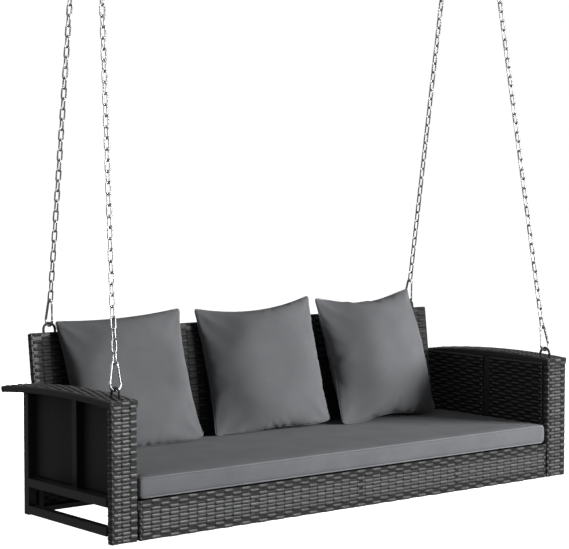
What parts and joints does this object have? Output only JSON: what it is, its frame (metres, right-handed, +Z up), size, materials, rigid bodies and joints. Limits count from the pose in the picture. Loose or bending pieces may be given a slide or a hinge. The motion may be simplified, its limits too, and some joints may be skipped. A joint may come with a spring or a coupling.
{
  "type": "porch swing",
  "caption": "Hanging porch swing: black woven resin wicker over a steel tube frame, arched armrests, reclined back, seat cushion, throw pillows, chains and ceiling hangers.",
  "frame": {"origin": "on the ceiling, midway between the two ceiling plates, where their upper faces meet it", "axes": "+Z up; +X along the seat towards the right as a viewer in front of the swing sees it; +Y to the back of the seat"},
  "size_m": [1.85, 0.6299, 2.5067],
  "materials": {
    "resin_wicker": "matte",
    "end_cap_plastic": "matte",
    "cushion_fabric": "matte",
    "pillow_fabric": "matte",
    "frame_steel": "satin",
    "ring_steel": "satin",
    "hanger_steel": "satin",
    "zinc_steel": "satin"
  },
  "bodies": {
    "ceiling_hangers": {"left_ceiling_plate": "hanger_steel", "left_ceiling_eye": "hanger_steel", "right_ceiling_plate": "hanger_steel", "right_ceiling_eye": "hanger_steel"},
    "swing": {"left_arm_posts": "frame_steel", "left_arm_rails": "frame_steel", "left_column_wicker": "resin_wicker", "left_arm_panel": "resin_wicker", "left_armrest_wicker": "resin_wicker", "left_armrest_rails": "frame_steel", "right_arm_posts": "frame_steel", "right_arm_rails": "frame_steel", "right_column_wicker": "resin_wicker", "right_arm_panel": "resin_wicker", "right_armrest_wicker": "resin_wicker", "right_armrest_rails": "frame_steel", "seat_front_rail": "frame_steel", "seat_rear_rail": "frame_steel", "seat_end_rails": "frame_steel", "seat_cross_bars": "frame_steel", "seat_deck_wicker": "resin_wicker", "apron_frame": "frame_steel", "front_apron_wicker": "resin_wicker", "rear_apron_wicker": "resin_wicker", "back_top_rail": "frame_steel", "back_bottom_rail": "frame_steel", "back_left_stile": "frame_steel", "back_middle_left_stile": "frame_steel", "back_middle_right_stile": "frame_steel", "back_right_stile": "frame_steel", "back_wicker": "resin_wicker", "frame_bolts": "zinc_steel", "frame_nuts": "zinc_steel", "ring_nuts": "ring_steel", "tube_end_caps": "end_cap_plastic", "seat_cushion": "cushion_fabric", "left_pillow": "pillow_fabric", "middle_pillow": "pillow_fabric", "right_pillow": "pillow_fabric", "left_front_ring": "ring_steel", "left_front_carabiner": "zinc_steel", "left_front_chain": "zinc_steel", "left_rear_ring": "ring_steel", "left_rear_carabiner": "zinc_steel", "left_rear_chain": "zinc_steel", "left_top_carabiner": "zinc_steel", "right_front_ring": "ring_steel", "right_front_carabiner": "zinc_steel", "right_front_chain": "zinc_steel", "right_rear_ring": "ring_steel", "right_rear_carabiner": "zinc_steel", "right_rear_chain": "zinc_steel", "right_top_carabiner": "zinc_steel", "gate_rivets": "zinc_steel"},
    "left_front_gate": {"left_front_gate": "zinc_steel"},
    "left_rear_gate": {"left_rear_gate": "zinc_steel"},
    "left_top_gate": {"left_top_gate": "zinc_steel"},
    "right_front_gate": {"right_front_gate": "zinc_steel"},
    "right_rear_gate": {"right_rear_gate": "zinc_steel"},
    "right_top_gate": {"right_top_gate": "zinc_steel"}
  },
  "joints": [
    {"name": "swing_hinge", "type": "hinge", "parent": "ceiling_hangers", "child": "swing", "pos_m": [0, 0, -0.037], "axis": [1, 0, 0], "range_deg": [-25, 25]},
    {"name": "left_front_gate_hinge", "type": "hinge", "parent": "swing", "child": "left_front_gate", "pos_m": [-0.86011, -0.26746, -2.01323], "axis": [0, 0.9907, -0.1362], "range_deg": [0, 25], "stiffness_Nm_per_rad": 0.15, "springref_deg": -20.05},
    {"name": "left_rear_gate_hinge", "type": "hinge", "parent": "swing", "child": "left_rear_gate", "pos_m": [-0.75142, 0.26171, -1.87717], "axis": [1, 0, 0.0071], "range_deg": [0, 25], "stiffness_Nm_per_rad": 0.15, "springref_deg": -20.05},
    {"name": "left_top_gate_hinge", "type": "hinge", "parent": "swing", "child": "left_top_gate", "pos_m": [-0.764, -0.01056, -0.04167], "axis": [1, 0, 0], "range_deg": [0, 25], "stiffness_Nm_per_rad": 0.15, "springref_deg": -20.05},
    {"name": "right_front_gate_hinge", "type": "hinge", "parent": "swing", "child": "right_front_gate", "pos_m": [0.86011, -0.26746, -2.01323], "axis": [0, -0.9907, 0.1362], "range_deg": [0, 25], "stiffness_Nm_per_rad": 0.15, "springref_deg": -20.05},
    {"name": "right_rear_gate_hinge", "type": "hinge", "parent": "swing", "child": "right_rear_gate", "pos_m": [0.75142, 0.26171, -1.87717], "axis": [1, 0, -0.0071], "range_deg": [0, 25], "stiffness_Nm_per_rad": 0.15, "springref_deg": -20.05},
    {"name": "right_top_gate_hinge", "type": "hinge", "parent": "swing", "child": "right_top_gate", "pos_m": [0.764, -0.01056, -0.04167], "axis": [1, 0, 0], "range_deg": [0, 25], "stiffness_Nm_per_rad": 0.15, "springref_deg": -20.05}
  ]
}
